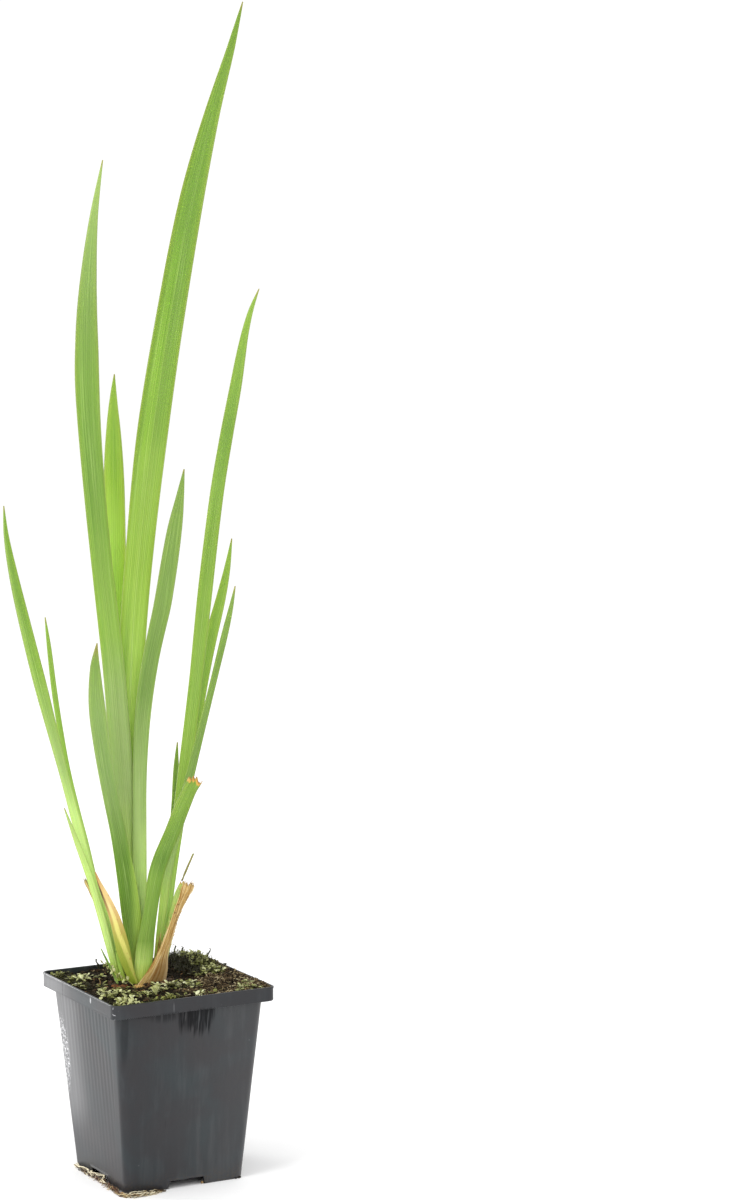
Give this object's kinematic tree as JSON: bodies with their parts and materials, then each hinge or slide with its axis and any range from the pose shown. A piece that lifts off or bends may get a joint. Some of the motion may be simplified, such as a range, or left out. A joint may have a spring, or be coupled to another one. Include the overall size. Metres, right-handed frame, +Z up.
{
  "type": "yellow flag iris plant in a square nursery pot",
  "caption": "Young yellow flag iris, sword leaves in a flat fan with cut and dried old leaves, growing in a small square tapered black nursery pot full of mossy peat.",
  "frame": {"origin": "centre of the flat centre foot under the pot, on the surface that the pot stands on", "axes": "+Z up along the pot's upright axis; the pot's sides lie along X and Y, and the fan of leaves is turned 25 degrees from X towards -Y"},
  "size_m": [0.1221, 0.09, 0.59],
  "materials": {
    "pot_plastic": "thin moulded black polypropylene, dusty satin",
    "peat": "crumbly moist peat",
    "rhizome_skin": "rough orange brown skin",
    "leaf": "smooth waxy leaf with fine long veins",
    "old_sheath": "yellowing leaf sheath",
    "dry_sheath": "dead papery leaf base with torn fibres",
    "moss": "small moss and seedling leaves",
    "dry_fibre": "dry brown moss and peat fibres",
    "root": "pale matted fine roots"
  },
  "bodies": {
    "root": {"pot": "pot_plastic", "soil": "peat", "rhizome": "rhizome_skin", "tall_leaf": "leaf", "left_leaf": "leaf", "back_leaf": "leaf", "middle_leaf": "leaf", "short_curved_leaf": "leaf", "far_left_leaf": "leaf", "thin_left_leaf": "leaf", "short_left_leaf": "leaf", "right_long_leaf": "leaf", "right_second_leaf": "leaf", "right_dark_leaf": "leaf", "right_small_leaf": "leaf", "cut_leaf": "leaf", "base_shoot": "leaf", "green_stub": "leaf", "grass_seedling": "moss", "yellow_sheath": "old_sheath", "papery_sheath": "dry_sheath", "dry_stub": "dry_sheath", "sheath_fibre": "dry_sheath", "seedlings_front": "moss", "seedlings_middle": "moss", "seedlings_right": "moss", "seedlings_left": "moss", "moss_mound": "moss", "dry_moss": "dry_fibre", "root_mat": "root"}
  },
  "joints": []
}
